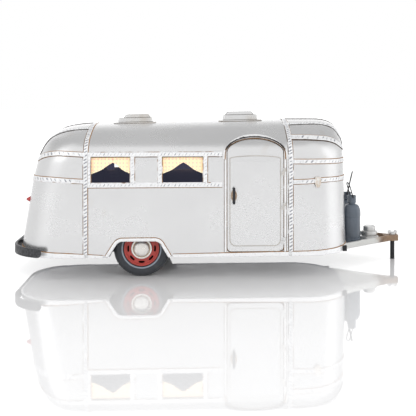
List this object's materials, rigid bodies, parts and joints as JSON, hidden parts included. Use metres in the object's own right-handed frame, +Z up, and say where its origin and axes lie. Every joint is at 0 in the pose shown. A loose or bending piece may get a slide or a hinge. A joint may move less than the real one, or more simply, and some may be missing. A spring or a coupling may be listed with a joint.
{
  "type": "toy travel caravan",
  "caption": "Tin display model of a riveted travel caravan with an opening door, turning wheels, roof vents, A-frame drawbar and two lidless cans.",
  "frame": {"origin": "on the floor under the middle of the overall length, on the centre plane", "axes": "+X forward to the hitch, +Y to the side away from the door, +Z up"},
  "size_m": [0.4046, 0.1512, 0.1618],
  "materials": {
    "bare_metal": "bare worn steel",
    "black_metal": "black paint",
    "black_wire": "black lacquered wire",
    "body_silver": "satin silver paint over tin sheet, faint streaks",
    "can_enamel": "gloss slate blue enamel",
    "charcoal_metal": "hammered charcoal paint",
    "curtain": "printed gingham, yellow and pink",
    "handle_dark": "black lever on a rusty plate",
    "hubcap": "polished cap",
    "lamp_red": "gloss red lens",
    "plain_steel": "dull grey paint",
    "rim_red": "gloss red paint",
    "rusty_metal": "rusty steel",
    "strip_metal": "embossed riveted strip, worn, rust at its edges",
    "tyre": "matt charcoal rubber",
    "worn_bronze": "silver paint worn to bronze towards the head"
  },
  "bodies": {
    "body": {"axle": "plain_steel", "belt_clasp": "rusty_metal", "door_drip_rail": "strip_metal", "door_frame": "strip_metal", "drawbar": "worn_bronze", "floor_pan": "plain_steel", "frame_hinges": "strip_metal", "front_belt_high": "strip_metal", "front_belt_low": "strip_metal", "front_belt_mid": "strip_metal", "front_cap": "body_silver", "front_roof_vent": "body_silver", "front_seam_strip": "strip_metal", "front_skirt": "strip_metal", "front_top_strips": "strip_metal", "hitch_pin": "black_metal", "left_bumper_bracket": "charcoal_metal", "left_can": "can_enamel", "left_middle_curtain": "curtain", "left_rail_bracket": "black_metal", "left_rear_curtain": "curtain", "left_skirt": "strip_metal", "left_tail_lamp": "lamp_red", "left_wheel_arch": "strip_metal", "left_wheel_well": "plain_steel", "left_window_frame": "strip_metal", "middle_shell": "body_silver", "rear_belt_high": "strip_metal", "rear_belt_low": "strip_metal", "rear_bumper": "charcoal_metal", "rear_cap": "body_silver", "rear_roof_vent": "body_silver", "rear_seam_strip": "strip_metal", "rear_skirt": "strip_metal", "rear_top_strips": "strip_metal", "right_bumper_bracket": "charcoal_metal", "right_can": "can_enamel", "right_middle_curtain": "curtain", "right_rail_bracket": "black_metal", "right_rear_curtain": "curtain", "right_skirt": "strip_metal", "right_tail_lamp": "lamp_red", "right_wheel_arch": "strip_metal", "right_wheel_well": "plain_steel", "right_window_frame": "strip_metal", "stepped_cap": "bare_metal", "wing_nut": "bare_metal"},
    "door": {"door_leaf": "body_silver", "door_handle": "handle_dark", "door_hinges": "bare_metal"},
    "right_wheel": {"right_tyre": "tyre", "right_rim": "rim_red", "right_hubcap": "hubcap"},
    "left_wheel": {"left_tyre": "tyre", "left_rim": "rim_red", "left_hubcap": "hubcap"},
    "right_bail": {"right_can_bail": "black_wire"},
    "left_bail": {"left_can_bail": "black_wire"}
  },
  "joints": [
    {"name": "door_hinge", "type": "hinge", "parent": "body", "child": "door", "pos_m": [0.0684, -0.07375, 0.07], "axis": [0, 0, 1], "range_deg": [0, 95]},
    {"name": "right_wheel_spin", "type": "hinge", "parent": "body", "child": "right_wheel", "pos_m": [-0.072, -0.0583, 0.0275], "axis": [0, 1, 0], "continuous": true},
    {"name": "left_wheel_spin", "type": "hinge", "parent": "body", "child": "left_wheel", "pos_m": [-0.072, 0.0583, 0.0275], "axis": [0, 1, 0], "continuous": true},
    {"name": "right_bail_swing", "type": "hinge", "parent": "body", "child": "right_bail", "pos_m": [0.1489, -0.0125, 0.0694], "axis": [-0.0698, 0.9976, 0], "range_deg": [-12, 85]},
    {"name": "left_bail_swing", "type": "hinge", "parent": "body", "child": "left_bail", "pos_m": [0.1489, 0.0125, 0.0694], "axis": [0.2079, 0.9781, 0], "range_deg": [-30, 60]}
  ]
}
